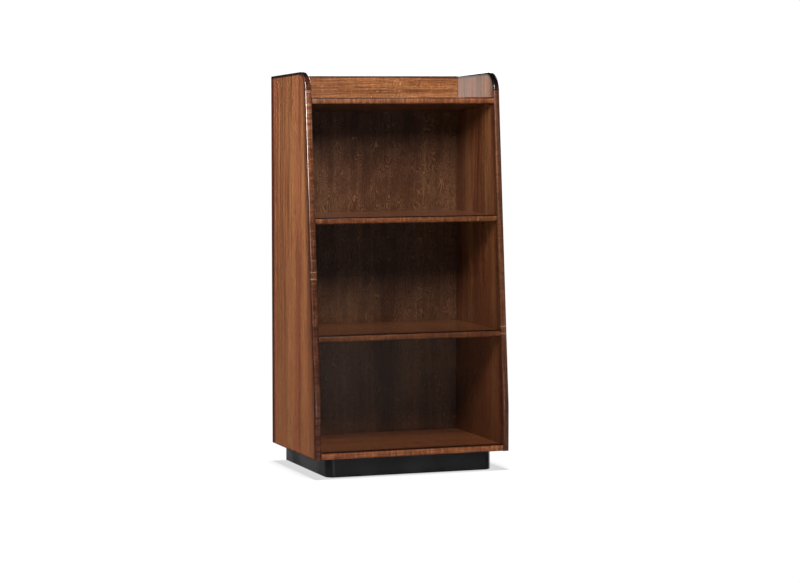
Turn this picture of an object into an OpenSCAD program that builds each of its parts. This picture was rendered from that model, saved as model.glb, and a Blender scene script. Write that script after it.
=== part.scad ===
// Free-standing open cabinet for photo albums, on a recessed plinth.
// Millimetres. X across the front, Y from front to back, Z up, floor at Z = 0.

/* [Case] */
// Width over the two sides
case_w = 610; // [560:1:660]
// Depth at the foot, front edge to rear edge
case_d = 422; // [380:1:460]
// Height of the rear corner of a side above the plinth
case_h = 1118; // [1000:1:1200]
// Thickness of each side board
side_t = 19; // [16:0.5:22]
// Height of the upright foot of the front edge
foot_h = 134; // [80:1:200]
// How far the front edge has moved back at the full height
top_setback = 88; // [40:1:120]
// Climb of the top edge towards the front, in degrees
top_rise = 2.5; // [0:0.1:4]
// Radius of the front top corner
corner_r = 58; // [30:1:70]

/* [Shelves] */
// Thickness of the three shelves
shelf_t = 19; // [16:0.5:22]
// Thickness of the bottom panel
bottom_t = 21; // [16:0.5:25]
// Top face of the lower shelf above the plinth
lower_shelf_z = 362; // [330:1:390]
// Top face of the upper shelf above the plinth
upper_shelf_z = 705; // [670:1:740]
// Front top corner of the top shelf above the plinth; it lies square to the slanted front
top_shelf_z = 1056; // [1020:1:1080]
// How far the shelf edges lie behind the front edges of the sides
shelf_shy = 1; // [0:0.5:4]

/* [Solid edge strips] */
// Depth of the strip along each front edge
lip_d = 10; // [6:0.5:20]
// Radius of its two front corners
lip_round = 5; // [1:0.5:5]
// Height of the joint in the left strip above the plinth
splice_left_z = 548; // [400:1:700]
// Height of the joint in the right strip above the plinth
splice_right_z = 372; // [300:1:700]

/* [Back] */
// Thickness of the back panel
back_t = 6; // [4:0.5:9]
// Distance from its rear face to the rear edges of the sides
back_inset = 25; // [8:1:30]
// How far it enters each groove
back_tongue = 6; // [4:0.5:9]
// Thickness of the rail behind the top shelf
rail_t = 19; // [12:0.5:22]
// Distance from its front face to the rear edges of the sides
rail_inset = 37; // [19:1:45]
// Radius along its top edge
rail_round = 3; // [1:0.5:4]

/* [Plinth] */
// Height
plinth_h = 57; // [40:1:80]
// Thickness of its boards
plinth_t = 18; // [15:0.5:22]
// Distance from the front of the case
plinth_front = 25; // [10:1:60]
// Distance from each side of the case
plinth_side = 44; // [20:1:80]
// Radius of its two front corners
plinth_r = 25; // [10:1:40]
// Side of each front corner post
post_s = 30; // [26:1:45]
// Side of the square battens inside
batten_s = 20; // [15:1:25]

/* [Fixings] */
// Dowel radius
dowel_r = 4; // [3:0.5:5]
// Dowel length
dowel_l = 30; // [25:1:40]
// Part of each dowel that enters a side
dowel_in_side = 11; // [8:1:14]
// Distance of the end dowels from the ends of a joint
dowel_end = 50; // [30:1:80]
// Screw shank radius
screw_r = 2; // [1.5:0.25:2.5]
// Screw length
screw_l = 32; // [25:1:40]
// Screw head radius
screw_head_r = 4; // [3:0.25:5]

/* [Hidden] */
$fn = 96;

walnut = [0.45, 0.28, 0.17];
walnut_edge = [0.52, 0.33, 0.20];
walnut_back = [0.30, 0.19, 0.12];
satin_black = [0.04, 0.04, 0.045];
beech = [0.76, 0.62, 0.44];
pine = [0.80, 0.68, 0.48];
steel = [0.62, 0.62, 0.60];

gap = 0.2;
front_y = -case_d / 2;
rear_y = case_d / 2;
inner_w = case_w - 2 * side_t;
slant = atan(top_setback / (case_h - foot_h));

// The front line and the top line of a side meet at the sharp corner; the arc touches both.
sharp_z = (case_h + (case_d + foot_h * tan(slant)) * tan(top_rise)) / (1 + tan(slant) * tan(top_rise));
sharp = [front_y + (sharp_z - foot_h) * tan(slant), sharp_z];
front_up = [sin(slant), cos(slant)];
front_in = [cos(slant), -sin(slant)];
top_back = [cos(top_rise), -sin(top_rise)];
arc_reach = corner_r / tan((90 + slant - top_rise) / 2);
arc_low = sharp - arc_reach * front_up;
arc_high = sharp + arc_reach * top_back;
arc_centre = arc_low + corner_r * front_in;
kink = [front_y, foot_h];
kink_in = [front_y + lip_d, foot_h - lip_d * tan(slant / 2)];

// The top shelf runs back and down from its front corners until it meets the rail.
rail_front_y = rear_y - rail_inset;
top_front_high = [front_y + (top_shelf_z - foot_h) * tan(slant), top_shelf_z] + shelf_shy * front_in;
top_front_low = top_front_high - shelf_t * front_up;
top_reach_high = (rail_front_y - top_front_high[0]) / cos(slant);
top_reach_low = (rail_front_y - top_front_low[0]) / cos(slant);
top_rear_high = top_front_high + top_reach_high * front_in;
top_rear_low = top_front_low + top_reach_low * front_in;

back_front_y = rear_y - back_inset - back_t;
groove_w = back_t + 2 * gap;
groove_d = back_tongue + 1;
rail_low_z = top_rear_low[1];
rail_top_z = case_h + 1;
back_low_z = bottom_t - back_tongue;
back_high_z = rail_low_z + back_tongue;
dowel_in_shelf = dowel_l - dowel_in_side;

plinth_w = case_w - 2 * plinth_side;
plinth_front_y = front_y + plinth_front;
plinth_inner_x = plinth_w / 2 - plinth_t;
batten_front_y = plinth_front_y + post_s + 5;
batten_rear_y = rear_y - plinth_t - 5;

// Front edge of the case at height z above the plinth.
function edge_y(z) = front_y + max(0, z - foot_h) * tan(slant);
// Front face of a shelf whose top face is at z.
function shelf_front_y(z, t) = edge_y(z - t / 2) + shelf_shy;
// Point on the slanted front line at height z.
function on_front(z) = [edge_y(z), z];

// [y, z] of the dowels of a board from front y0 to rear y1, with its top face at z.
function board_dowels(y0, y1, z, t) =
    [for (y = [y0 + lip_d + dowel_end, (y0 + y1) / 2, y1 - dowel_end]) [y, z - t / 2]];
lower_dowels = board_dowels(shelf_front_y(lower_shelf_z, shelf_t), back_front_y, lower_shelf_z, shelf_t);
upper_dowels = board_dowels(shelf_front_y(upper_shelf_z, shelf_t), back_front_y, upper_shelf_z, shelf_t);
top_dowels = [for (s = [lip_d + dowel_end, top_reach_low / 2, top_reach_low - dowel_end])
    top_front_high - shelf_t / 2 * front_up + s * front_in];
bottom_dowels = board_dowels(shelf_front_y(bottom_t, bottom_t), rear_y, bottom_t, bottom_t);
rail_dowels = [for (z = [rail_low_z + 25, rail_top_z - 25]) [rail_front_y + rail_t / 2, z]];
all_dowels = concat(lower_dowels, upper_dowels, top_dowels, bottom_dowels, rail_dowels);

module on_plinth() {
    translate([0, 0, plinth_h]) children();
}

// Stand an outline drawn as [y, z] upright, w thick in X, centred on X = x.
module upright(x, w) {
    translate([x - w / 2, 0, 0])
        rotate([90, 0, 90])
            linear_extrude(w) children();
}

// Place children at both ends of each dowelled joint, with +Z pointing into the side.
module at_dowels(spots) {
    for (s = [-1, 1])
        for (p = spots)
            translate([s * inner_w / 2, p[0], p[1]])
                rotate([0, 90 * s, 0]) children();
}

module dowel_hole() {
    translate([0, 0, -dowel_in_shelf - 1])
        cylinder(r = dowel_r + 0.05, h = dowel_l + 2);
}

module dowel() {
    chamfer = 1;
    translate([0, 0, -dowel_in_shelf]) {
        cylinder(r1 = dowel_r - chamfer, r2 = dowel_r, h = chamfer);
        translate([0, 0, chamfer])
            cylinder(r = dowel_r, h = dowel_l - 2 * chamfer);
        translate([0, 0, dowel_l - chamfer])
            cylinder(r1 = dowel_r, r2 = dowel_r - chamfer, h = chamfer);
    }
}

module dowels() {
    color(beech)
        on_plinth() at_dowels(all_dowels) dowel();
}

module side_outline() {
    polygon([[front_y, 0], [rear_y, 0], [rear_y, case_h], arc_high, arc_low, kink]);
    translate(arc_centre) circle(r = corner_r);
}

module strip_outline() {
    polygon([[front_y - 1, -1], [front_y + lip_d, -1], kink_in,
        arc_low + lip_d * front_in, arc_low - front_in, kink - [1, 0]]);
}

module side_board(s) {
    x = s * (case_w - side_t) / 2;
    on_plinth()
        difference() {
            upright(x, side_t)
                difference() {
                    side_outline();
                    strip_outline();
                }
            at_dowels(all_dowels) dowel_hole();
            translate([-inner_w / 2 - groove_d, back_front_y - gap, back_low_z - 1])
                cube([inner_w + 2 * groove_d, groove_w, back_high_z - back_low_z + 2]);
        }
}

module side_left() {
    color(walnut) side_board(-1);
}

module side_right() {
    color(walnut) side_board(1);
}

// Section of a side's edge strip, front at y = 0, its two front corners rounded.
module strip_section(w) {
    translate([-w / 2, lip_round]) square([w, lip_d - lip_round]);
    translate([-w / 2 + lip_round, 0]) square([w - 2 * lip_round, lip_d]);
    for (s = [-1, 1])
        translate([s * (w / 2 - lip_round), lip_round]) circle(r = lip_round);
}

module strip_foot(s) {
    x = s * (case_w - side_t) / 2;
    on_plinth()
        intersection() {
            translate([x, front_y, 0])
                linear_extrude(foot_h + lip_d) strip_section(side_t);
            upright(x, side_t + 2)
                polygon([[front_y - 1, 0], [front_y + lip_d, 0], kink_in,
                    kink + (kink - kink_in) / lip_d]);
        }
}

// The part of the slanted strip between two cuts; each cut is a pair of [y, z] points, front then rear.
module strip_length(s, low, high) {
    x = s * (case_w - side_t) / 2;
    on_plinth()
        intersection() {
            translate([x, kink[0], kink[1]])
                rotate([-slant, 0, 0])
                    translate([0, 0, -lip_d])
                        linear_extrude(case_h) strip_section(side_t);
            upright(x, side_t + 2)
                polygon([low[0], low[1], high[1], high[0]]);
        }
}

function square_cut(p) = [p - front_in, p + lip_d * front_in];
kink_cut = [kink + (kink - kink_in) / lip_d, kink_in];
arc_cut = square_cut(arc_low);

module edge_left_foot() {
    color(walnut_edge) strip_foot(-1);
}

module edge_left_lower() {
    color(walnut_edge) strip_length(-1, kink_cut, square_cut(on_front(splice_left_z)));
}

module edge_left_upper() {
    color(walnut_edge) strip_length(-1, square_cut(on_front(splice_left_z)), arc_cut);
}

module edge_right_foot() {
    color(walnut_edge) strip_foot(1);
}

module edge_right_lower() {
    color(walnut_edge) strip_length(1, kink_cut, square_cut(on_front(splice_right_z)));
}

module edge_right_upper() {
    color(walnut_edge) strip_length(1, square_cut(on_front(splice_right_z)), arc_cut);
}

// A board between the sides with its top face at z, from behind its edge strip to rear y1.
module board(z, t, y1) {
    y0 = shelf_front_y(z, t) + lip_d;
    translate([-inner_w / 2, y0, z - t]) cube([inner_w, y1 - y0, t]);
}

module back_groove(z) {
    translate([-inner_w / 2 - 1, back_front_y - gap, z - groove_d])
        cube([inner_w + 2, groove_w, 2 * groove_d]);
}

module bottom_panel() {
    color(walnut)
        difference() {
            on_plinth()
                difference() {
                    board(bottom_t, bottom_t, rear_y);
                    back_groove(bottom_t);
                    at_dowels(bottom_dowels) dowel_hole();
                }
            at_screws_up() screw_pilot();
        }
}

module lower_shelf() {
    color(walnut)
        on_plinth()
            difference() {
                board(lower_shelf_z, shelf_t, back_front_y);
                at_dowels(lower_dowels) dowel_hole();
            }
}

module upper_shelf() {
    color(walnut)
        on_plinth()
            difference() {
                board(upper_shelf_z, shelf_t, back_front_y);
                at_dowels(upper_dowels) dowel_hole();
            }
}

module top_shelf() {
    color(walnut)
        on_plinth()
            difference() {
                upright(0, inner_w)
                    polygon([top_front_low + lip_d * front_in, top_rear_low,
                        top_rear_high, top_front_high + lip_d * front_in]);
                at_dowels(top_dowels) dowel_hole();
            }
}

// Edge strip of a board t thick, drawn as [y, z] from its front lower corner.
module board_strip_bar(t) {
    upright(0, inner_w) {
        translate([lip_round, 0]) square([lip_d - lip_round, t]);
        translate([0, lip_round]) square([lip_d, t - 2 * lip_round]);
        for (h = [lip_round, t - lip_round])
            translate([lip_round, h]) circle(r = lip_round);
    }
}

module board_strip(z, t) {
    on_plinth()
        translate([0, shelf_front_y(z, t), z - t]) board_strip_bar(t);
}

module bottom_edge() {
    color(walnut_edge) board_strip(bottom_t, bottom_t);
}

module lower_shelf_edge() {
    color(walnut_edge) board_strip(lower_shelf_z, shelf_t);
}

module upper_shelf_edge() {
    color(walnut_edge) board_strip(upper_shelf_z, shelf_t);
}

module top_shelf_edge() {
    color(walnut_edge)
        on_plinth()
            translate([0, top_front_low[0], top_front_low[1]])
                rotate([-slant, 0, 0]) board_strip_bar(shelf_t);
}

module back_panel() {
    color(walnut_back)
        on_plinth()
            translate([-inner_w / 2 - back_tongue, back_front_y, back_low_z])
                cube([inner_w + 2 * back_tongue, back_t, back_high_z - back_low_z]);
}

module top_rail() {
    rail_h = rail_top_z - rail_low_z;
    color(walnut_edge)
        on_plinth()
            difference() {
                translate([0, rail_front_y, rail_low_z])
                    upright(0, inner_w) {
                        square([rail_t, rail_h - rail_round]);
                        translate([rail_round, 0]) square([rail_t - 2 * rail_round, rail_h]);
                        for (y = [rail_round, rail_t - rail_round])
                            translate([y, rail_h - rail_round]) circle(r = rail_round);
                    }
                at_dowels(rail_dowels) dowel_hole();
                back_groove(rail_low_z);
            }
}

module plinth_front_board() {
    color(satin_black)
        translate([-plinth_w / 2 + post_s, plinth_front_y, 0])
            cube([plinth_w - 2 * post_s, plinth_t, plinth_h]);
}

module plinth_back_board() {
    color(satin_black)
        translate([-plinth_inner_x, rear_y - plinth_t, 0])
            cube([2 * plinth_inner_x, plinth_t, plinth_h]);
}

module plinth_side_board(s) {
    y0 = plinth_front_y + post_s;
    difference() {
        translate([s * (plinth_w - plinth_t) / 2 - plinth_t / 2, y0, 0])
            cube([plinth_t, rear_y - y0, plinth_h]);
        at_screws_out() screw_pilot();
    }
}

module plinth_left_board() {
    color(satin_black) plinth_side_board(-1);
}

module plinth_right_board() {
    color(satin_black) plinth_side_board(1);
}

// Front corner post with its outer corner rounded; s is -1 for the left.
module plinth_post(s) {
    translate([s * (plinth_w / 2 - plinth_r), plinth_front_y + plinth_r, 0])
        linear_extrude(plinth_h) {
            circle(r = plinth_r);
            translate([s > 0 ? plinth_r - post_s : 0, -plinth_r])
                square([post_s - plinth_r, post_s]);
            translate([s > 0 ? plinth_r - post_s : -plinth_r, 0])
                square([post_s, post_s - plinth_r]);
        }
}

module plinth_post_left() {
    color(satin_black) plinth_corner(-1);
}

module plinth_post_right() {
    color(satin_black) plinth_corner(1);
}

// The post's square outline keeps the circle from reaching behind it.
module plinth_corner(s) {
    intersection() {
        plinth_post(s);
        translate([s * (plinth_w - post_s) / 2 - post_s / 2, plinth_front_y, 0])
            cube([post_s, post_s, plinth_h]);
    }
}

module batten(s) {
    x = s * (plinth_inner_x - batten_s / 2);
    difference() {
        translate([x - batten_s / 2, batten_front_y, plinth_h - batten_s])
            cube([batten_s, batten_rear_y - batten_front_y, batten_s]);
        at_screws_up() screw_hole();
        at_screws_out() screw_hole();
    }
}

module batten_left() {
    color(pine) batten(-1);
}

module batten_right() {
    color(pine) batten(1);
}

// Screws that run up through the battens into the bottom panel.
module at_screws_up() {
    for (s = [-1, 1])
        for (k = [0.15, 0.5, 0.85])
            translate([s * (plinth_inner_x - batten_s / 2),
                    batten_front_y + k * (batten_rear_y - batten_front_y),
                    plinth_h - batten_s])
                children();
}

// Screws that run outwards through the battens into the plinth sides.
module at_screws_out() {
    for (s = [-1, 1])
        for (k = [0.3, 0.7])
            translate([s * (plinth_inner_x - batten_s),
                    batten_front_y + k * (batten_rear_y - batten_front_y),
                    plinth_h - batten_s / 2])
                rotate([0, 90 * s, 0]) children();
}

// Countersunk screw, head face at z = 0, point along +Z.
module screw_body(extra) {
    head_h = screw_head_r - screw_r;
    tip_h = 4;
    cylinder(r1 = screw_head_r + extra, r2 = screw_r + extra, h = head_h);
    translate([0, 0, head_h - 0.01])
        cylinder(r = screw_r + extra, h = screw_l - head_h - tip_h);
    translate([0, 0, screw_l - tip_h - 0.02])
        cylinder(r1 = screw_r + extra, r2 = 0.4 + extra, h = tip_h);
}

module screw_hole() {
    screw_body(0.05);
}

module screw_pilot() {
    translate([0, 0, batten_s - 1])
        cylinder(r = screw_r + 0.05, h = screw_l - batten_s + 1.5);
}

module batten_screws() {
    slot = [0.8, 4.4, 2.4];
    color(steel) {
        at_screws_up() slotted_screw(slot);
        at_screws_out() slotted_screw(slot);
    }
}

module slotted_screw(slot) {
    difference() {
        screw_body(0);
        for (a = [0, 90])
            rotate([0, 0, a]) cube(slot, center = true);
    }
}

side_left();
side_right();
edge_left_foot();
edge_left_lower();
edge_left_upper();
edge_right_foot();
edge_right_lower();
edge_right_upper();
bottom_panel();
lower_shelf();
upper_shelf();
top_shelf();
bottom_edge();
lower_shelf_edge();
upper_shelf_edge();
top_shelf_edge();
back_panel();
top_rail();
dowels();
plinth_front_board();
plinth_back_board();
plinth_left_board();
plinth_right_board();
plinth_post_left();
plinth_post_right();
batten_left();
batten_right();
batten_screws();
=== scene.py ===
import math

import bmesh
import bpy
from mathutils import Matrix, Vector


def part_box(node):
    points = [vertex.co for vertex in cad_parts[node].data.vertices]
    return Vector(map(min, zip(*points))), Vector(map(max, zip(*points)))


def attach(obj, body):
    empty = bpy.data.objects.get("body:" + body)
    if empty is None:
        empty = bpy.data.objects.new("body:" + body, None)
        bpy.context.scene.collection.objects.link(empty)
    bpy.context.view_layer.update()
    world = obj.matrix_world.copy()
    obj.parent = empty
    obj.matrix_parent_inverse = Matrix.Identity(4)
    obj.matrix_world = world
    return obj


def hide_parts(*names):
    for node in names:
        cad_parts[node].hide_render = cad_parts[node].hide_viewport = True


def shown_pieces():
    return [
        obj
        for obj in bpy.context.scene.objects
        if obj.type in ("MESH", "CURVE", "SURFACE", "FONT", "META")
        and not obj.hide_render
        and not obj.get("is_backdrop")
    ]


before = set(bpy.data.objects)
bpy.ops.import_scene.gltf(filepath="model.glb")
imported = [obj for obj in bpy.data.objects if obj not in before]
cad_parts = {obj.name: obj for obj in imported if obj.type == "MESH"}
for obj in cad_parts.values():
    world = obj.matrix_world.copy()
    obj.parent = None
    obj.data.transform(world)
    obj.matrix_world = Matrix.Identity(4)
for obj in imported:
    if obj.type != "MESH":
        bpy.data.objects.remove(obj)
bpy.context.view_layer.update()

# ---------------------------------------------------------------- sizes, in metres, as in the CAD model
CASE_LOW, CASE_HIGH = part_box("side_left")
RIGHT_LOW, RIGHT_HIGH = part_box("side_right")
SIDE_T = CASE_HIGH.x - CASE_LOW.x
OUTER_X = RIGHT_HIGH.x
INNER_X = RIGHT_LOW.x
PLINTH_H = CASE_LOW.z
REAR_Y = CASE_HIGH.y
FRONT_Y = -REAR_Y
FOOT_H = 0.134
CASE_H = 1.118
TOP_SETBACK = 0.088
TOP_RISE = math.radians(2.5)
CORNER_R = 0.058
SHELF_T = 0.019
SHELF_SHY = 0.001
TOP_SHELF_Z = 1.056
LIP_D = 0.010
LIP_ROUND = 0.005
RAIL_ROUND = 0.003
PLINTH_R = 0.025
SLANT = math.atan(TOP_SETBACK / (CASE_H - FOOT_H))

# Radii of softened edges: free arrises, edges that meet another piece, and the plinth's outer edges
ARRIS = 0.0008
JOINT = 0.0002
PLINTH_ROUND = 0.003

BEVEL_SEGMENTS = 6
CORNER_STEPS = 28
PLINTH_STEPS = 16
SHARP_ANGLE = math.radians(40)

X_AXIS = (1.0, 0.0, 0.0)
Y_AXIS = (0.0, 1.0, 0.0)
Z_AXIS = (0.0, 0.0, 1.0)

# Directions on a side, as (y, z): level to the rear, upright, up along the slanted front, square to it
# into the case, to the rear along the top line, and square to that line upwards
LEVEL = Vector((1, 0))
UPRIGHT = Vector((0, 1))
FRONT_UP = Vector((math.sin(SLANT), math.cos(SLANT)))
FRONT_IN = Vector((math.cos(SLANT), -math.sin(SLANT)))
TOP_BACK = Vector((math.cos(TOP_RISE), -math.sin(TOP_RISE)))
TOP_UP = Vector((-TOP_BACK.y, TOP_BACK.x))


def above_plinth(y, z):
    return Vector((y, z + PLINTH_H))


def on_front(z):
    """Point on the slanted front line at height z above the plinth."""
    return above_plinth(FRONT_Y + max(0, z - FOOT_H) * math.tan(SLANT), z)


def sharp_corner():
    """Where the slanted front line and the top line of a side would meet."""
    run = REAR_Y - FRONT_Y + FOOT_H * math.tan(SLANT)
    z = (CASE_H + run * math.tan(TOP_RISE)) / (1 + math.tan(SLANT) * math.tan(TOP_RISE))
    return on_front(z)


# The rounded corner of a side, and the point where its front begins to slant
ARC_REACH = CORNER_R / math.tan((math.pi / 2 + SLANT - TOP_RISE) / 2)
ARC_LOW = sharp_corner() - ARC_REACH * FRONT_UP
ARC_CENTRE = ARC_LOW + CORNER_R * FRONT_IN
KINK = on_front(FOOT_H)
KINK_IN = above_plinth(FRONT_Y + LIP_D, FOOT_H - LIP_D * math.tan(SLANT / 2))


# ---------------------------------------------------------------- camera
SENSOR_MM = 36
LENS_MM = 118.21
CAMERA_AT = (-2.6700, -7.4329, 1.1563)
CAMERA_PITCH = math.radians(85.452)
CAMERA_HEADING = math.radians(-19.992)


def add_object(name, data):
    item = bpy.data.objects.new(name, data)
    bpy.context.scene.collection.objects.link(item)
    return item


def make_camera():
    data = bpy.data.cameras.new("camera")
    data.sensor_width = SENSOR_MM
    data.lens = LENS_MM
    data.clip_end = 100
    camera = add_object("camera", data)
    camera.location = CAMERA_AT
    camera.rotation_euler = (CAMERA_PITCH, 0, CAMERA_HEADING)
    bpy.context.scene.camera = camera


# ---------------------------------------------------------------- mesh building
def bake_modifiers(piece):
    """Turns the piece's modifiers into mesh."""
    graph = bpy.context.evaluated_depsgraph_get()
    mesh = bpy.data.meshes.new_from_object(piece.evaluated_get(graph))
    piece.modifiers.clear()
    piece.data = mesh


def prism(name, outline, low, high, rounds, corners, place):
    """A closed outline carried from low to high and rounded along its edges.

    outline   2-D points in order
    rounds    radius along each outline segment, from point i to point i + 1, at both ends
    corners   radius along the straight edge that each point draws
    place     turns (u, v, w) into a 3-D point; w runs from low to high
    """
    bm = bmesh.new()
    count = len(outline)
    first = [bm.verts.new(place(p[0], p[1], low)) for p in outline]
    last = [bm.verts.new(place(p[0], p[1], high)) for p in outline]
    bm.faces.new(first)
    bm.faces.new(last)
    for i in range(count):
        j = (i + 1) % count
        bm.faces.new((first[i], first[j], last[j], last[i]))
    bmesh.ops.recalc_face_normals(bm, faces=bm.faces)
    widest = max(list(rounds) + list(corners))
    weight = bm.edges.layers.float.new("bevel_weight_edge")
    for i in range(count):
        j = (i + 1) % count
        for ring in (first, last):
            bm.edges.get((ring[i], ring[j]))[weight] = rounds[i] / widest
        bm.edges.get((first[i], last[i]))[weight] = corners[i] / widest
    mesh = bpy.data.meshes.new(name)
    bm.to_mesh(mesh)
    bm.free()
    piece = add_object(name, mesh)
    bevel = piece.modifiers.new("rounding", "BEVEL")
    bevel.limit_method = "WEIGHT"
    bevel.width = widest
    bevel.segments = BEVEL_SEGMENTS
    bevel.use_clamp_overlap = False
    bake_modifiers(piece)
    return piece


def along_x(u, v, w):
    return (w, u, v)


def along_z(u, v, w):
    return (u, v, w)


def cut_by(piece, *nodes):
    """Cuts the room that other CAD nodes take, such as dowels and the tongues of the back."""
    for node in nodes:
        cutter = add_object("cutter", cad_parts[node].data.copy())
        bm = bmesh.new()
        bm.from_mesh(cutter.data)
        bmesh.ops.remove_doubles(bm, verts=bm.verts, dist=1e-6)
        bm.to_mesh(cutter.data)
        bm.free()
        cut = piece.modifiers.new("cut", "BOOLEAN")
        cut.operation = "DIFFERENCE"
        cut.solver = "EXACT"
        cut.object = cutter
        bake_modifiers(piece)
        bpy.data.objects.remove(cutter)


def dress(piece, node, material):
    """Shades the piece, rides it on the body and lets it stand for its CAD node."""
    mesh = piece.data
    mesh.materials.clear()
    mesh.materials.append(material)
    for polygon in mesh.polygons:
        polygon.use_smooth = True
    mesh.set_sharp_from_angle(angle=SHARP_ANGLE)
    flat = piece.modifiers.new("flat_faces", "WEIGHTED_NORMAL")
    flat.keep_sharp = True
    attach(piece, "root")
    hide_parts(node)


def same(count, value):
    return [value] * count


# ---------------------------------------------------------------- materials
class Tree:
    """A material's node tree, with short calls to add nodes."""

    def __init__(self, name):
        self.material = bpy.data.materials.new(name)
        self.material.use_nodes = True
        self.nodes = self.material.node_tree.nodes
        self.links = self.material.node_tree.links
        self.nodes.clear()
        self.output = self.nodes.new("ShaderNodeOutputMaterial")
        self.shader = self.nodes.new("ShaderNodeBsdfPrincipled")
        self.links.new(self.shader.outputs[0], self.output.inputs["Surface"])
        self.coordinates = self.nodes.new("ShaderNodeTexCoord").outputs["Object"]
        self.normal = self.nodes.new("ShaderNodeNewGeometry").outputs["Normal"]

    def feed(self, socket, value):
        if isinstance(value, bpy.types.NodeSocket):
            self.links.new(value, socket)
        else:
            socket.default_value = value

    def math(self, operation, a, b=0.0, c=0.0):
        node = self.nodes.new("ShaderNodeMath")
        node.operation = operation
        for socket, value in zip(node.inputs, (a, b, c)):
            self.feed(socket, value)
        return node.outputs[0]

    def vector(self, operation, a, b=(0, 0, 0)):
        node = self.nodes.new("ShaderNodeVectorMath")
        node.operation = operation
        self.feed(node.inputs[0], a)
        self.feed(node.inputs[1], b)
        return node.outputs["Value" if operation in ("DOT_PRODUCT", "LENGTH") else "Vector"]

    def along(self, direction):
        """How far a point lies along a direction."""
        return self.vector("DOT_PRODUCT", self.coordinates, direction)

    def facing(self, direction):
        """1 where the surface faces a direction, and -1 where it faces away."""
        return self.vector("DOT_PRODUCT", self.normal, direction)

    def place(self, turn, shift):
        """Object coordinates turned and then shifted, so that X runs along the grain."""
        node = self.nodes.new("ShaderNodeMapping")
        self.feed(node.inputs["Vector"], self.coordinates)
        node.inputs["Rotation"].default_value = turn
        node.inputs["Location"].default_value = shift
        return node.outputs[0]

    def noise(self, at, scale, detail=2.0, roughness=0.5, colour=False):
        """Noise with its own scale, in cycles per metre, along each axis."""
        node = self.nodes.new("ShaderNodeTexNoise")
        self.feed(node.inputs["Vector"], self.vector("MULTIPLY", at, scale))
        node.inputs["Scale"].default_value = 1
        node.inputs["Detail"].default_value = detail
        node.inputs["Roughness"].default_value = roughness
        return node.outputs["Color" if colour else 0]

    def rings(self, at, stretch, per_metre):
        """Growth rings around the X axis, each a rise from 0 to 1.

        Along the axis they change stretch times as fast as across it.
        """
        radius = self.vector("LENGTH", self.vector("MULTIPLY", at, (stretch, 1, 1)))
        return self.math("FRACT", self.math("MULTIPLY", radius, per_metre))

    def spread(self, value, low, high, out_low=0.0, out_high=1.0):
        """Carries the value smoothly from low and high to out_low and out_high, and holds it there."""
        node = self.nodes.new("ShaderNodeMapRange")
        node.interpolation_type = "SMOOTHSTEP"
        numbers = (value, low, high, out_low, out_high)
        for name, number in zip(("Value", "From Min", "From Max", "To Min", "To Max"), numbers):
            self.feed(node.inputs[name], number)
        return node.outputs[0]

    def near(self, value, target, outer, inner):
        """1 within the inner distance of the target, and 0 beyond the outer one."""
        return self.spread(self.math("ABSOLUTE", self.math("SUBTRACT", value, target)), outer, inner)

    def weigh(self, tone, part, weight):
        """Adds to the tone a part whose mean is a half, by its weight."""
        return self.math("MULTIPLY_ADD", self.math("SUBTRACT", part, 0.5), weight, tone)

    def ramp(self, value, stops):
        node = self.nodes.new("ShaderNodeValToRGB")
        elements = node.color_ramp.elements
        while len(elements) < len(stops):
            elements.new(0.5)
        for element, (position, colour) in zip(elements, stops):
            element.position = position
            element.color = (*colour, 1)
        self.feed(node.inputs[0], value)
        return node.outputs["Color"]

    def mix(self, factor, a, b, blend="MIX"):
        """Mixes two colours; in a colour mix, inputs 6 and 7 are A and B, and output 2 is the result."""
        node = self.nodes.new("ShaderNodeMix")
        node.data_type = "RGBA"
        node.blend_type = blend
        self.feed(node.inputs[0], factor)
        for socket, value in ((node.inputs[6], a), (node.inputs[7], b)):
            self.feed(socket, (*value, 1) if isinstance(value, tuple) else value)
        return node.outputs[2]

    def tint(self, colour, mask, factors):
        """Multiplies the colour by the factors where the mask is 1."""
        return self.mix(mask, colour, factors, "MULTIPLY")

    def bump(self, height, strength, distance):
        node = self.nodes.new("ShaderNodeBump")
        node.inputs["Strength"].default_value = strength
        node.inputs["Distance"].default_value = distance
        self.feed(node.inputs["Height"], height)
        self.links.new(node.outputs[0], self.shader.inputs["Normal"])

    def set(self, **inputs):
        for name, value in inputs.items():
            self.feed(self.shader.inputs[name.replace("_", " ")], value)


# Turns that bring a board's grain onto the X axis
GRAIN_X = (0.0, 0.0, 0.0)
GRAIN_Y = (0.0, 0.0, math.radians(90))
GRAIN_Z = (0.0, math.radians(90), 0.0)
GRAIN_FRONT = (SLANT, math.radians(90), 0.0)

# Noise in the wood's figure: cycles per metre along and across the grain, detail and roughness
SWAY = ((1.5, 6, 6), 2)
RIPPLE = ((22, 40, 40), 2)
BROAD = ((0.7, 13, 13), 1)
STREAK = ((1.6, 80, 80), 3, 0.6)
LINE = ((5, 330, 330), 2, 0.6)
FIBRE = ((18, 1300, 1300), 2, 0.7)
PORE = ((85, 2600, 2600), 1)
CURL = ((150, 36, 36), 3, 0.62)
DASH = ((38, 170, 170), 1)
DASH_PATCH = ((3.5, 15, 15), 1)
FLECK_BEND = ((13, 22, 22), 1, 0.4)
FLECK_BREAK = ((16, 30, 30), 2)
SPECKLE = ((120, 260, 260), 2)
RED_BAND = ((0.9, 17, 17), 1)

# Values, of a noise or another measure, between which a mark grows from none to full
PORE_RANGE = (0.6, 0.7)
DASH_RANGE = (0.6, 0.74)
DASH_PATCH_RANGE = (0.48, 0.68)
FLECK_RANGE = (0.19, 0.0)
FLECK_BREAK_RANGE = (0.38, 0.66)
RED_RANGE = (0.4, 0.62)
END_GRAIN_RANGE = (0.5, 0.95)

# Values of a noise between which the gloss changes
MIDDLE_RANGE = (0.3, 0.7)

# How far, in metres, the sway and the ripple bend the grain sideways
SWAY_REACH = 0.045
RIPPLE_REACH = 0.003

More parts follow.
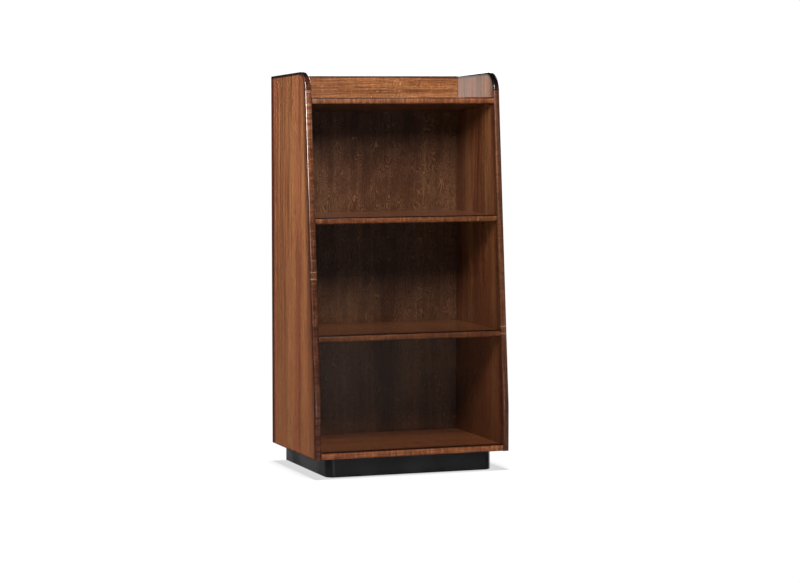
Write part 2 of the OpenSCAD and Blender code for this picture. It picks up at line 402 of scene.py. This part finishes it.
FIBRE_WEIGHT = 0.3
PORE_WEIGHT = 0.5
END_GRAIN_WEIGHT = 0.9
GLUE_WEIGHT = 0.8
FIBRE_HEIGHT = 0.4
BUMP_STRENGTH = 0.3
BUMP_DEPTH = 0.0002
RING_STRETCH = 0.02
RINGS_PER_METRE = 170
RING_TONES = [(0.0, (0.25,) * 3), (0.35, (0.65,) * 3), (0.85, (0.55,) * 3), (1.0, (0.15,) * 3)]
FLECKS_PER_METRE = 55.0
FLECK_BEND_WEIGHT = 24.0
CALM_WEIGHT = 0.45

# Factors on red, green and blue
PORE_TINT = (0.45, 0.4, 0.38)
RED_TINT = (0.95, 0.74, 0.84)
END_GRAIN_TINT = (0.22, 0.17, 0.15)
# Mauve tint on a side's rim; where little black covers it, it is a painted reflection
RIM_TINT = (0.60, 0.60, 0.72)
BLACK_TINT = (0.050, 0.042, 0.045)
SIDE_REAR_FOOT_TINT = (0.32, 0.20, 0.24)
SIDE_FRONT_TINT = (0.42, 0.33, 0.36)
RAIL_ARRIS_TINT = (0.25, 0.19, 0.2)
# Painted highlight just below the upper arris of board edges
PAINTED_HIGHLIGHT_TINT = (1.25, 1.3, 1.3)
ARRIS_TINT = (0.10, 0.075, 0.08)
# Painted sheen on the top of the left strip
PAINTED_SHEEN_TINT = (1.40, 1.55, 2.00)
OUTSIDE_TINT = (0.22, 0.15, 0.17)
BEHIND_EDGE_TINT = (0.35, 0.28, 0.30)
FLANK_TINT = (0.50, 0.36, 0.38)

GLUE_COLOUR = (0.24, 0.13, 0.08)


def grain_axis(turn):
    """Direction of the grain in the object's own axes, for one of the turns above."""
    matrix = Matrix.Rotation(turn[1], 3, "Y") @ Matrix.Rotation(turn[0], 3, "X")
    return tuple(matrix.transposed() @ Vector(X_AXIS))


def bent_grain(t, turn, shift):
    """Coordinates with X along the grain, which sways and ripples sideways."""
    straight = t.place(turn, shift)
    bent = straight
    for layer, reach in ((SWAY, SWAY_REACH), (RIPPLE, RIPPLE_REACH)):
        drift = t.vector("SUBTRACT", t.noise(straight, *layer, colour=True), (0.5, 0.5, 0.5))
        bent = t.vector("ADD", bent, t.vector("MULTIPLY", drift, (0.0, reach, reach)))
    return bent


def figure_tone(t, at, fibre, rings=0.0, bands=0.5, streaks=0.5, lines=0.3, curl=0.0, dashes=0.0,
        flecks=0.0):
    """Tone of the wood's figure, from dark to light around a half.

    The numbers weigh its parts: growth rings, broad bands, streaks 10 mm wide, lines 2 mm wide, curl across
    the grain, short dark dashes and light curved flecks.
    """
    parts = [
        (t.noise(at, *BROAD), bands),
        (t.noise(at, *STREAK), streaks),
        (t.noise(at, *LINE), lines),
        (fibre, FIBRE_WEIGHT),
    ]
    if rings:
        parts.append((t.ramp(t.rings(at, RING_STRETCH, RINGS_PER_METRE), RING_TONES), rings))
    if curl:
        parts.append((t.noise(at, *CURL), curl))
    tone = 0.5
    for part, weight in parts:
        tone = t.weigh(tone, part, weight)
    if dashes:
        mark = t.spread(t.noise(at, *DASH), *DASH_RANGE)
        patch = t.spread(t.noise(at, *DASH_PATCH), *DASH_PATCH_RANGE)
        tone = t.math("MULTIPLY_ADD", t.math("MULTIPLY", mark, patch), -dashes, tone)
    if flecks:
        across = t.vector("DOT_PRODUCT", at, (0.0, FLECKS_PER_METRE, FLECKS_PER_METRE))
        field = t.math("MULTIPLY_ADD", t.noise(at, *FLECK_BEND), FLECK_BEND_WEIGHT, across)
        arch = t.spread(t.math("PINGPONG", field, 0.5), *FLECK_RANGE)
        broken = t.spread(t.noise(at, *FLECK_BREAK), *FLECK_BREAK_RANGE)
        tone = t.math("MULTIPLY_ADD", t.math("MULTIPLY", arch, broken), flecks, tone)
        tone = t.weigh(tone, t.noise(at, *SPECKLE), flecks)
    return tone


def wood(name, turn, shift, colours, marks_and_painted_light=(), red=0.6, calm=None, coat=(0.4, 0.1), **weights):
    """Stained and lacquered wood.

    turn      brings the grain onto the X axis
    shift     chooses the stretch of the figure that shows
    colours   dark, middle and light
    marks_and_painted_light   functions that take the tree and a colour and return the colour with a stain or painted light on it
    red       how much redder some bands are
    calm      heights between which the figure grows from weak to full
    coat      weight and roughness of the lacquer
    weights   of the parts of the figure
    """
    t = Tree(name)
    at = bent_grain(t, turn, shift)
    fibre = t.noise(at, *FIBRE)
    pores = t.spread(t.noise(at, *PORE), *PORE_RANGE)
    tone = figure_tone(t, at, fibre, **weights)
    if calm:
        tone = t.weigh(0.5, tone, t.spread(t.along(Z_AXIS), *calm, CALM_WEIGHT, 1.0))
    dark, middle, light = colours
    colour = t.ramp(tone, [(0.1, dark), (0.5, middle), (0.9, light)])
    colour = t.tint(colour, t.math("MULTIPLY", pores, PORE_WEIGHT), PORE_TINT)
    redder = t.spread(t.noise(at, *RED_BAND), *RED_RANGE)
    colour = t.tint(colour, t.math("MULTIPLY", redder, red), RED_TINT)
    end = t.spread(t.math("ABSOLUTE", t.facing(grain_axis(turn))), *END_GRAIN_RANGE)
    colour = t.tint(colour, t.math("MULTIPLY", end, END_GRAIN_WEIGHT), END_GRAIN_TINT)
    for apply_mark in marks_and_painted_light:
        colour = apply_mark(t, colour)

    height = t.math("SUBTRACT", t.math("MULTIPLY", fibre, FIBRE_HEIGHT), pores)
    t.bump(height, BUMP_STRENGTH, BUMP_DEPTH)
    t.set(
        Base_Color=colour,
        Roughness=t.spread(fibre, *MIDDLE_RANGE, 0.35, 0.25),
        Specular_IOR_Level=0.25,
        Coat_Weight=coat[0],
        Coat_Roughness=coat[1],
    )
    return t.material


# Stains and painted light by place. A mark begins at the first of two distances, in metres, and is full at
# the second; on a strip's flanks and outside, those are two values of how far the surface faces a
# direction.
def in_space(direction):
    """A direction on a side, as a direction in space."""
    return (0.0, direction.x, direction.y)


def ahead_of_corner(t):
    """How far a point lies in front of the centre of a side's rounded corner."""
    return t.math("ADD", t.along(in_space(-FRONT_IN)), FRONT_IN.dot(ARC_CENTRE))


def above_corner(t):
    """How far a point lies above the centre of a side's rounded corner."""
    return t.math("SUBTRACT", t.along(in_space(TOP_UP)), TOP_UP.dot(ARC_CENTRE))


def behind_front(t):
    """How far a point lies behind the slanted front."""
    return t.math("SUBTRACT", t.along(in_space(FRONT_IN)), KINK.dot(FRONT_IN))


def black_top(amount, low, high):
    """The top line and rounded corner of a side are stained black, which fades down the front.

    The stain grows from amount to full between the heights low and high above the corner's centre.
    Below the black the rim is tinted mauve; where the black is weak, as on the left side, that tint is a
    painted reflection of the light the corner catches.
    """
    rim_start = CORNER_R - 0.0105
    rim_full = CORNER_R - 0.0070
    fade_height = -0.10

    def apply_mark(t, colour):
        above = above_corner(t)
        parts = (ahead_of_corner(t), above)
        squares = [t.math("POWER", t.math("MAXIMUM", part, 0.0), 2.0) for part in parts]
        reach = t.math("SQRT", t.math("ADD", *squares))
        rim = t.spread(reach, rim_start, rim_full)
        strength = t.spread(above, low, high, amount, 1.0)
        rim = t.math("MULTIPLY", rim, t.spread(above, fade_height, 0.0))
        colour = t.tint(colour, rim, RIM_TINT)
        return t.tint(colour, t.math("MULTIPLY", rim, strength), BLACK_TINT)
    return apply_mark


def dark_rims(t, colour):
    """Sides are darker along their rear, lower and front edges."""
    rear_start, rear_full = 0.034, 0.018
    foot_start, foot_full = 0.004, 0.002
    front_start, front_full = 0.050, 0.004
    rear = t.spread(t.along(Y_AXIS), REAR_Y - rear_start, REAR_Y - rear_full)
    foot = t.spread(t.along(Z_AXIS), PLINTH_H + foot_start, PLINTH_H + foot_full)
    front = t.spread(behind_front(t), front_start, front_full)
    colour = t.tint(colour, t.math("MAXIMUM", rear, foot), SIDE_REAR_FOOT_TINT)
    return t.tint(colour, front, SIDE_FRONT_TINT)


def dark_upper_arris(height):
    """The rail is darker along its last few millimetres below its top, which is at this height."""
    start = height - 0.0055
    full = height - 0.004

    def apply_mark(t, colour):
        return t.tint(colour, t.spread(t.along(Z_AXIS), start, full), RAIL_ARRIS_TINT)
    return apply_mark


def dark_arris_with_painted_highlight(*heights):
    """Board edges are dark along their upper arris, and have a painted highlight just below it: a lighter
    band where the rounded arris catches the light.
    """
    highlight_below = 0.006
    highlight_reach = (0.0025, 0.0010)
    dark_reach = (0.0036, 0.0024)

    def apply_mark(t, colour):
        z = t.along(Z_AXIS)
        for height in heights:
            colour = t.tint(colour, t.near(z, height - highlight_below, *highlight_reach), PAINTED_HIGHLIGHT_TINT)
            colour = t.tint(colour, t.near(z, height, *dark_reach), ARRIS_TINT)
        return colour
    return apply_mark


def painted_sheen_top(t, colour):
    """Painted sheen: the left strip turns paler and greyer towards the rounded corner above it, standing in
    for the light it reflects there.
    """
    start, full = -0.20, -0.03
    return t.tint(colour, t.spread(above_corner(t), start, full), PAINTED_SHEEN_TINT)


def dark_outside(sign, low, high):
    """A strip is darker where it turns to the outside of the case.

    Low and high say how far it faces outwards where that begins and where it is full.
    """
    def apply_mark(t, colour):
        return t.tint(colour, t.spread(t.facing((sign, 0.0, 0.0)), low, high), OUTSIDE_TINT)
    return apply_mark


def dark_front(t, colour):
    """Boards are darker just behind their edge strips."""
    start, full = 0.045, 0.025
    return t.tint(colour, t.spread(behind_front(t), start, full), BEHIND_EDGE_TINT)


def dark_flanks(front):
    """Solid strips are darker on the faces that don't look to the front."""
    start, full = 0.75, 0.45

    def apply_mark(t, colour):
        return t.tint(colour, t.spread(t.facing(front), start, full), FLANK_TINT)
    return apply_mark


def glue_lines(*heights):
    """Light lines across a strip where two lengths of it are joined."""
    reach = (0.0018, 0.0008)

    def apply_mark(t, colour):
        z = t.along(Z_AXIS)
        for height in heights:
            line = t.near(z, height, *reach)
            colour = t.mix(t.math("MULTIPLY", line, GLUE_WEIGHT), colour, GLUE_COLOUR)
        return colour
    return apply_mark


def lacquer_black():
    t = Tree("black_lacquer")
    at = t.place(GRAIN_X, (0.0, 0.0, 0.0))
    brush = t.noise(at, (30, 900, 900), 2)
    cloud = t.noise(at, (9, 9, 9), 3)
    tone = t.math("MULTIPLY_ADD", brush, 0.3, t.math("MULTIPLY", cloud, 0.7))
    t.bump(brush, BUMP_STRENGTH / 2, BUMP_DEPTH)
    t.set(
        Base_Color=t.ramp(tone, [(0.3, (0.005, 0.005, 0.0055)), (0.7, (0.011, 0.011, 0.012))]),
        Roughness=t.spread(cloud, *MIDDLE_RANGE, 0.30, 0.42),
        Specular_IOR_Level=0.35,
    )
    return t.material


def bare_wood(name, turn, dark, light):
    t = Tree(name)
    at = t.place(turn, (0.0, 0.31, 0.17))
    fibre = t.noise(at, (20, 1500, 1500), 2)
    tone = t.math("MULTIPLY_ADD", fibre, 0.5, t.math("MULTIPLY", t.rings(at, 0.03, 300), 0.5))
    t.bump(fibre, BUMP_STRENGTH, BUMP_DEPTH)
    t.set(
        Base_Color=t.ramp(tone, [(0.2, dark), (0.8, light)]),
        Roughness=t.spread(fibre, 0, 1, 0.6, 0.75),
    )
    return t.material


def plated_steel():
    t = Tree("screw_steel")
    at = t.place(GRAIN_X, (0.0, 0.0, 0.0))
    cloud = t.noise(at, (400, 400, 400), 3)
    t.set(
        Base_Color=t.ramp(cloud, [(0.3, (0.42, 0.41, 0.38)), (0.7, (0.6, 0.59, 0.56))]),
        Metallic=1.0,
        Roughness=t.spread(cloud, *MIDDLE_RANGE, 0.28, 0.45),
    )
    return t.material


# Dark, middle and light of each wood
SIDE_COLOURS = ((0.060, 0.0175, 0.0060), (0.128, 0.0445, 0.0155), (0.21, 0.085, 0.031))
STRIP_COLOURS = ((0.018, 0.0058, 0.0026), (0.060, 0.0200, 0.0080), (0.15, 0.062, 0.027))
LIP_COLOURS = ((0.028, 0.0076, 0.0027), (0.074, 0.023, 0.0070), (0.165, 0.063, 0.021))
RAIL_COLOURS = ((0.070, 0.0215, 0.0065), (0.148, 0.053, 0.0165), (0.29, 0.128, 0.048))
BACK_COLOURS = ((0.020, 0.0066, 0.0026), (0.042, 0.0155, 0.0062), (0.100, 0.046, 0.021))
SHELF_COLOURS = ((0.055, 0.018, 0.0070), (0.095, 0.033, 0.0125), (0.14, 0.056, 0.022))


# Painted light and shade: a lighter or darker copy of a wood's colours, for pieces that should look more or
# less lit
def painted_light_copy(colours, factor):
    return [tuple(factor * part for part in colour) for colour in colours]


# ---------------------------------------------------------------- pieces
def make_side(name, sign, material):
    """Side board: straight behind its edge strip, with the rounded front top corner."""
    start = math.atan2(-FRONT_IN.y, -FRONT_IN.x)
    end = math.atan2(TOP_UP.y, TOP_UP.x)
    turn = (end - start) % (2 * math.pi) - 2 * math.pi
    points = [
        above_plinth(FRONT_Y + LIP_D, 0),
        KINK_IN,
        ARC_LOW + LIP_D * FRONT_IN,
    ]
    rounds = same(3, JOINT)
    corners = [ARRIS, 0, 0]
    for k in range(CORNER_STEPS + 1):
        angle = start + turn * k / CORNER_STEPS
        points.append(ARC_CENTRE + CORNER_R * Vector((math.cos(angle), math.sin(angle))))
        rounds.append(LIP_ROUND)
        corners.append(0)
    points += [above_plinth(REAR_Y, CASE_H), above_plinth(REAR_Y, 0)]
    rounds += same(2, ARRIS)
    corners += same(2, ARRIS)
    x = sign * (OUTER_X + INNER_X) / 2
    piece = prism(name, points, x - SIDE_T / 2, x + SIDE_T / 2, rounds, corners, along_x)
    cut_by(piece, "dowels", "back_panel")
    dress(piece, "side_left" if sign < 0 else "side_right", material)


def make_strip(name, node, sign, low, high, material):
    """Solid strip along the front edge of a side, between two cuts given as (front, rear) points."""
    points = [low[0], high[0], high[1], low[1]]
    rounds = [LIP_ROUND, JOINT, JOINT, JOINT]
    x = sign * (OUTER_X + INNER_X) / 2
    piece = prism(name, points, x - SIDE_T / 2, x + SIDE_T / 2, rounds, same(4, JOINT), along_x)
    dress(piece, node, material)


def square_cut(z):
    """Cut through a strip, square to the slanted front at height z above the plinth."""
    return on_front(z), on_front(z) + LIP_D * FRONT_IN


def make_board(name, node, front, rear, thick, material, cutters, rear_round=JOINT):
    """Level board between the sides, from its front top point to its rear top point."""
    points = [front, rear, rear - thick * UPRIGHT, front - thick * UPRIGHT]
    corners = [JOINT, rear_round, rear_round, JOINT]
    piece = prism(name, points, -INNER_X, INNER_X, same(4, JOINT), corners, along_x)
    cut_by(piece, *cutters)
    dress(piece, node, material)


def make_board_edge(name, node, corner, inward, up, thick, material):
    """Solid strip along the front of a board; corner is its sharp front top corner."""
    behind = corner + LIP_D * inward
    points = [corner, behind, behind - thick * up, corner - thick * up]
    corners = [LIP_ROUND, JOINT, JOINT, LIP_ROUND]
    piece = prism(name, points, -INNER_X, INNER_X, same(4, JOINT), corners, along_x)
    dress(piece, node, material)


def make_sides():
    look = dict(rings=0.2, bands=1.0, streaks=1.9, lines=1.3, dashes=1.3, red=0.7, calm=(0.3, 0.85))
    # The black stands for dark end grain. It is weaker on the left corner, where the mauve rim tint shows
    # as painted reflection of the light that corner catches.
    left_side_marks_and_painted_light = [dark_rims, black_top(0.1, 0.037, 0.057)]
    right_stains = [dark_rims, black_top(0.5, 0.000, 0.016)]
    make_side("left_side", -1,
        wood("left_side_wood", GRAIN_Z, (0.0, 0.32, 0.9), SIDE_COLOURS, left_side_marks_and_painted_light, **look))
    make_side("right_side", 1,
        wood("right_side_wood", GRAIN_Z, (0.4, 0.12, 0.5), SIDE_COLOURS, right_stains, **look))


def make_side_strips():
    """The edge strip of each side is in three lengths: its foot, and two along the slanted front."""
    splice_gap = 0.02
    # The last entry of each row is painted sheen for the top of the strip; only the left strip has it.
    for word, sign, turned, curl, top_painted_sheen in (
        ("left", -1, (0.76, 0.92), 1.7, [painted_sheen_top]),
        ("right", 1, (0.25, 0.55), 0.8, []),
    ):
        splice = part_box(f"edge_{word}_lower")[1].z
        marks_and_painted_light = [dark_outside(sign, *turned), glue_lines(splice, splice - splice_gap)] + top_painted_sheen
        material = wood(f"edge_{word}_wood", GRAIN_FRONT, (0.5 + 0.2 * sign, 0.29, 0.5), STRIP_COLOURS,
            marks_and_painted_light, curl=curl, bands=0.5, streaks=0.7, lines=0.8, coat=(0.7, 0.13))
        foot = (above_plinth(FRONT_Y, 0), above_plinth(FRONT_Y + LIP_D, 0))
        kink = (KINK, KINK_IN)
        joint = square_cut(splice - PLINTH_H)
        top = (ARC_LOW, ARC_LOW + LIP_D * FRONT_IN)
        make_strip(f"{word}_edge_foot", f"edge_{word}_foot", sign, foot, kink, material)
        make_strip(f"{word}_edge_lower", f"edge_{word}_lower", sign, kink, joint, material)
        make_strip(f"{word}_edge_upper", f"edge_{word}_upper", sign, joint, top, material)


def make_shelves():
    tops = [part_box(f"{word}_edge")[1].z for word in ("bottom", "lower_shelf", "upper_shelf", "top_shelf")]
    lip_marks_and_highlight = [dark_flanks((0.0, -1.0, 0.0)), dark_arris_with_painted_highlight(*tops)]
    edge = wood("shelf_edge_wood", GRAIN_X, (0.2, 0.5, 0.3), LIP_COLOURS,
        lip_marks_and_highlight, curl=1.5, bands=0.6, lines=0.7)
    # Painted shade: the upper shelf's edge is a darker copy of the shelf edge colours, standing in for less
    # light on it
    lip_painted_darker = wood("upper_shelf_lip_wood_painted_shade", GRAIN_X, (0.2, 0.5, 0.3), painted_light_copy(LIP_COLOURS, 0.82),
        lip_marks_and_highlight, curl=1.7, bands=0.9, lines=0.9)
    board_look = dict(rings=0.15, streaks=0.9, lines=0.5)
    board = wood("shelf_wood", GRAIN_X, (0.1, 0.4, 0.35), SHELF_COLOURS, [dark_front], **board_look)
    # Painted light: the bottom board and its edge are lighter copies of the shelf colours, standing in for
    # more light on them
    bottom_board_painted_lighter = wood("bottom_board_wood_painted_light", GRAIN_X, (0.3, 0.2, 0.15), painted_light_copy(SHELF_COLOURS, 1.75),
        [dark_front], **board_look)
    bottom_lip_painted_lighter = wood("bottom_lip_wood_painted_light", GRAIN_X, (0.4, 0.3, 0.1), painted_light_copy(LIP_COLOURS, 1.95),
        lip_marks_and_highlight, curl=1.3, bands=0.5, lines=0.7)
    back_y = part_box("back_panel")[0].y
    for word, material in (("lower", edge), ("upper", lip_painted_darker)):
        low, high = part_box(f"{word}_shelf_edge")
        corner = Vector((low.y, high.z))
        make_board_edge(f"{word}_shelf_lip", f"{word}_shelf_edge", corner, LEVEL, UPRIGHT,
            high.z - low.z, material)
        make_board(f"{word}_shelf_board", f"{word}_shelf", corner + LIP_D * LEVEL, Vector((back_y, high.z)),
            high.z - low.z, board, ["dowels"])
    low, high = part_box("bottom_edge")
    corner = Vector((low.y, high.z))
    make_board_edge("bottom_lip", "bottom_edge", corner, LEVEL, UPRIGHT, high.z - low.z, bottom_lip_painted_lighter)
    make_board("bottom_board", "bottom_panel", corner + LIP_D * LEVEL, Vector((REAR_Y, high.z)),
        high.z - low.z, bottom_board_painted_lighter, ["dowels", "back_panel", "batten_screws"], rear_round=ARRIS)
    corner = on_front(TOP_SHELF_Z) + SHELF_SHY * FRONT_IN
    make_board_edge("top_shelf_lip", "top_shelf_edge", corner, FRONT_IN, FRONT_UP, SHELF_T, edge)
    make_top_shelf(corner, board)


def make_top_shelf(corner, material):
    """The top shelf runs down and back to the rail, and its rear end is cut upright."""
    rail_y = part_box("top_rail")[0].y
    low_corner = corner - SHELF_T * FRONT_UP
    points = [
        corner + LIP_D * FRONT_IN,
        corner + (rail_y - corner.x) / FRONT_IN.x * FRONT_IN,
        low_corner + (rail_y - low_corner.x) / FRONT_IN.x * FRONT_IN,
        low_corner + LIP_D * FRONT_IN,
    ]
    piece = prism("top_shelf_board", points, -INNER_X, INNER_X, same(4, JOINT), same(4, JOINT), along_x)
    cut_by(piece, "dowels")
    dress(piece, "top_shelf", material)


def upright_outline(low, high):
    """Outline of a box as (y, z) points, from its front lower corner."""
    return [(low.y, low.z), (low.y, high.z), (high.y, high.z), (high.y, low.z)]


def make_rail():
    low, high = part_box("top_rail")
    corners = [JOINT, RAIL_ROUND, RAIL_ROUND, JOINT]
    rail = prism("rail", upright_outline(low, high), -INNER_X, INNER_X, same(4, JOINT), corners, along_x)
    cut_by(rail, "dowels", "back_panel")
    dress(rail, "top_rail",
        wood("rail_wood", GRAIN_X, (0.5, 0.15, 0.8), RAIL_COLOURS, [dark_upper_arris(high.z)],
            bands=0.8, streaks=1.3, lines=1.5, curl=0.5, flecks=0.45, red=0.3))


def make_back():
    low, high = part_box("back_panel")
    back = prism("back", upright_outline(low, high), low.x, high.x, same(4, JOINT), same(4, JOINT), along_x)
    dress(back, "back_panel",
        wood("back_wood", GRAIN_Z, (0.0, 0.33, 0.21), BACK_COLOURS,
            bands=0.7, streaks=0.5, flecks=0.75, red=0.2))


def make_plinth_boards(material):
    """The number with each board is the outline segment on its outer face."""
    for node, word, outside in (
        ("front_board", "front", 0),
        ("right_board", "right", 1),
        ("back_board", "back", 2),
        ("left_board", "left", 3),
    ):
        low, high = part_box(f"plinth_{node}")
        points = [(low.x, low.y), (high.x, low.y), (high.x, high.y), (low.x, high.y)]
        rounds = same(4, ARRIS)
        rounds[outside] = PLINTH_ROUND
        piece = prism(f"plinth_{word}", points, low.z, high.z, rounds, same(4, 0), along_z)
        cut_by(piece, "batten_screws")
        dress(piece, f"plinth_{node}", material)


def make_plinth_posts(material):
    """Front corner posts, with a quarter circle on the outer front edge."""
    for word, sign in (("left", -1), ("right", 1)):
        low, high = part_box(f"plinth_post_{word}")
        outer, inner = (low.x, high.x) if sign < 0 else (high.x, low.x)
        centre = Vector((outer - sign * PLINTH_R, low.y + PLINTH_R))
        points = [(inner, high.y), (inner, low.y)]
        for k in range(PLINTH_STEPS + 1):
            angle = math.pi / 2 * k / PLINTH_STEPS
            x = centre.x + sign * PLINTH_R * math.sin(angle)
            points.append((x, centre.y - PLINTH_R * math.cos(angle)))
        points.append((outer, high.y))
        rounds = [ARRIS] + same(len(points) - 2, PLINTH_ROUND) + [ARRIS]
        piece = prism(f"plinth_corner_{word}", points, low.z, high.z, rounds, same(len(points), 0), along_z)
        dress(piece, f"plinth_post_{word}", material)


def make_plinth():
    black = lacquer_black()
    make_plinth_boards(black)
    make_plinth_posts(black)


def finish_small_parts():
    """CAD nodes whose shape is right keep it and get their materials."""
    pine = bare_wood("pine", GRAIN_Y, (0.55, 0.36, 0.18), (0.75, 0.56, 0.33))
    beech = bare_wood("beech", GRAIN_X, (0.50, 0.32, 0.18), (0.66, 0.46, 0.28))
    steel = plated_steel()
    for node, material in (
        ("batten_left", pine),
        ("batten_right", pine),
        ("dowels", beech),
        ("batten_screws", steel),
    ):
        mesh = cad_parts[node].data
        mesh.materials.clear()
        mesh.materials.append(material)


# ---------------------------------------------------------------- studio
FLOOR_REACH = 40
BACKDROP_AS_LIGHT = 0.04
BACKDROP_AS_SEEN = 1.05


def make_floor(name, z, shade, glow=0.0):
    corners = [(x * FLOOR_REACH, y * FLOOR_REACH, z) for x, y in ((-1, -1), (1, -1), (1, 1), (-1, 1))]
    mesh = bpy.data.meshes.new(name)
    mesh.from_pydata(corners, [], [(0, 1, 2, 3)])
    floor = add_object(name, mesh)
    t = Tree(name)
    t.set(Base_Color=(shade, shade, shade, 1), Roughness=0.9, Specular_IOR_Level=0.0)
    t.set(Emission_Color=(1, 1, 1, 1), Emission_Strength=glow)
    mesh.materials.append(t.material)
    floor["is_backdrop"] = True
    return floor


def make_floors():
    """The pale floor that is seen, and a second one just below it that returns light to the object.

    The seen floor glows a little, so that the shadow under the object stays light.
    """
    seen = make_floor("floor", z=-0.0003, shade=0.2, glow=0.68)
    seen.visible_diffuse = False
    seen.visible_glossy = False
    seen.visible_shadow = False
    bounce = make_floor("floor_bounce", z=-0.001, shade=0.6)
    bounce.visible_camera = False
    bounce.visible_glossy = False
    return seen, bounce


def make_backdrop():
    """White where it is seen, a dim even grey as a source of light."""
    world = bpy.data.worlds.new("studio")
    world.use_nodes = True
    nodes = world.node_tree.nodes
    strength = nodes.new("ShaderNodeMapRange")
    strength.inputs["To Min"].default_value = BACKDROP_AS_LIGHT
    strength.inputs["To Max"].default_value = BACKDROP_AS_SEEN
    seen = nodes.new("ShaderNodeLightPath").outputs["Is Camera Ray"]
    world.node_tree.links.new(seen, strength.inputs["Value"])
    world.node_tree.links.new(strength.outputs[0], nodes["Background"].inputs["Strength"])
    nodes["Background"].inputs["Color"].default_value = (1, 1, 1, 1)
    bpy.context.scene.world = world


def sun_light(name, power, width):
    """A light from straight above."""
    data = bpy.data.lights.new(name, "SUN")
    data.energy = power
    data.angle = math.radians(width)
    add_object(name, data)


def area_light(name, at, target, width, height, power, spread=180):
    data = bpy.data.lights.new(name, "AREA")
    data.shape = "RECTANGLE"
    data.size = width
    data.size_y = height
    data.energy = power
    data.spread = math.radians(spread)
    light = add_object(name, data)
    light.location = at
    light.rotation_euler = (Vector(target) - Vector(at)).to_track_quat("-Z", "Y").to_euler()
    light.visible_camera = False
    return light


def make_case_lights():
    key = dict(at=(-0.36, -1.65, 1.97), target=(0, 0, 1.05), width=0.8, height=0.8, power=25, spread=90)
    area_light("key", **key)
    key_left = area_light("key_left", **key)
    key_left.visible_glossy = False
    area_light("low_fill", at=(0.0, -3.0, 0.20), target=(0, 0, 0.16),
        width=0.7, height=0.3, power=0.19, spread=18)
    left_strip = area_light("left_strip", at=(-2.2, 0.15, 1.05), target=(0, 0.1, 0.6),
        width=0.3, height=2.2, power=71)
    left_strip.visible_glossy = False
    gleam = area_light("gleam", at=(-1.5, -0.45, 1.50), target=(-0.3, -0.20, 1.15),
        width=0.3, height=1.2, power=105)
    gleam.data.color = (1.0, 0.86, 0.78)
    gleam.visible_diffuse = False
    sheen = area_light("sheen", at=(0.232, 0.172, 1.145), target=(0.232, -1.0, 1.145),
        width=0.105, height=0.085, power=0.032)
    sheen.data.color = (1.0, 0.93, 0.88)
    right_fill = area_light("right_fill", at=(2.6, 0.7, 1.2), target=(0.3, 0.1, 0.6),
        width=1.0, height=2.0, power=50)
    right_fill.visible_glossy = False


def make_plinth_and_rear_lights():
    area_light("plinth_left_fill", at=(-1.0, 1.7, 0.35), target=(-0.28, 0.0, 0.03),
        width=0.8, height=0.5, power=15)
    area_light("plinth_right_fill", at=(2.0, 0.9, 0.12), target=(0.28, -0.17, 0.03),
        width=0.6, height=0.3, power=40)
    area_light("rear_fill", at=(1.4, 2.6, 1.4), target=(0, 0.1, 0.6),
        width=1.5, height=1.5, power=60)


def objects(*names):
    return [bpy.data.objects[name] for name in names]


def light_only(name, receivers):
    """Lets a light reach only some objects."""
    collection = bpy.data.collections.new(name + "_receivers")
    for receiver in receivers:
        collection.objects.link(receiver)
    bpy.data.objects[name].light_linking.receiver_collection = collection


def aim_lights(seen_floor, bounce_floor):
    """The sun lights the floors only. The other lights leave out the seen floor, and most of them also
    leave out some of the pieces.
    """
    object_and_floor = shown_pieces() + [bounce_floor]
    left = objects("left_side", "left_edge_foot", "left_edge_lower", "left_edge_upper")
    light_only("overhead", [seen_floor, bounce_floor])
    for name in ("low_fill", "left_strip", "rear_fill"):
        light_only(name, object_and_floor)
    light_only("key", [piece for piece in object_and_floor if piece not in left])
    light_only("key_left", left)
    light_only("gleam", left)
    light_only("sheen", objects("right_side"))
    light_only("plinth_left_fill", objects("plinth_left", "plinth_corner_left"))
    light_only("plinth_right_fill", objects("plinth_corner_right"))
    light_only("right_fill", objects("right_side", "plinth_right"))


def make_studio():
    floors = make_floors()
    make_backdrop()
    sun_light("overhead", power=5.3, width=4)
    make_case_lights()
    make_plinth_and_rear_lights()
    aim_lights(*floors)
    bpy.context.scene.view_settings.view_transform = "Standard"


make_camera()
make_sides()
make_side_strips()
make_shelves()
make_rail()
make_back()
make_plinth()
finish_small_parts()
make_studio()
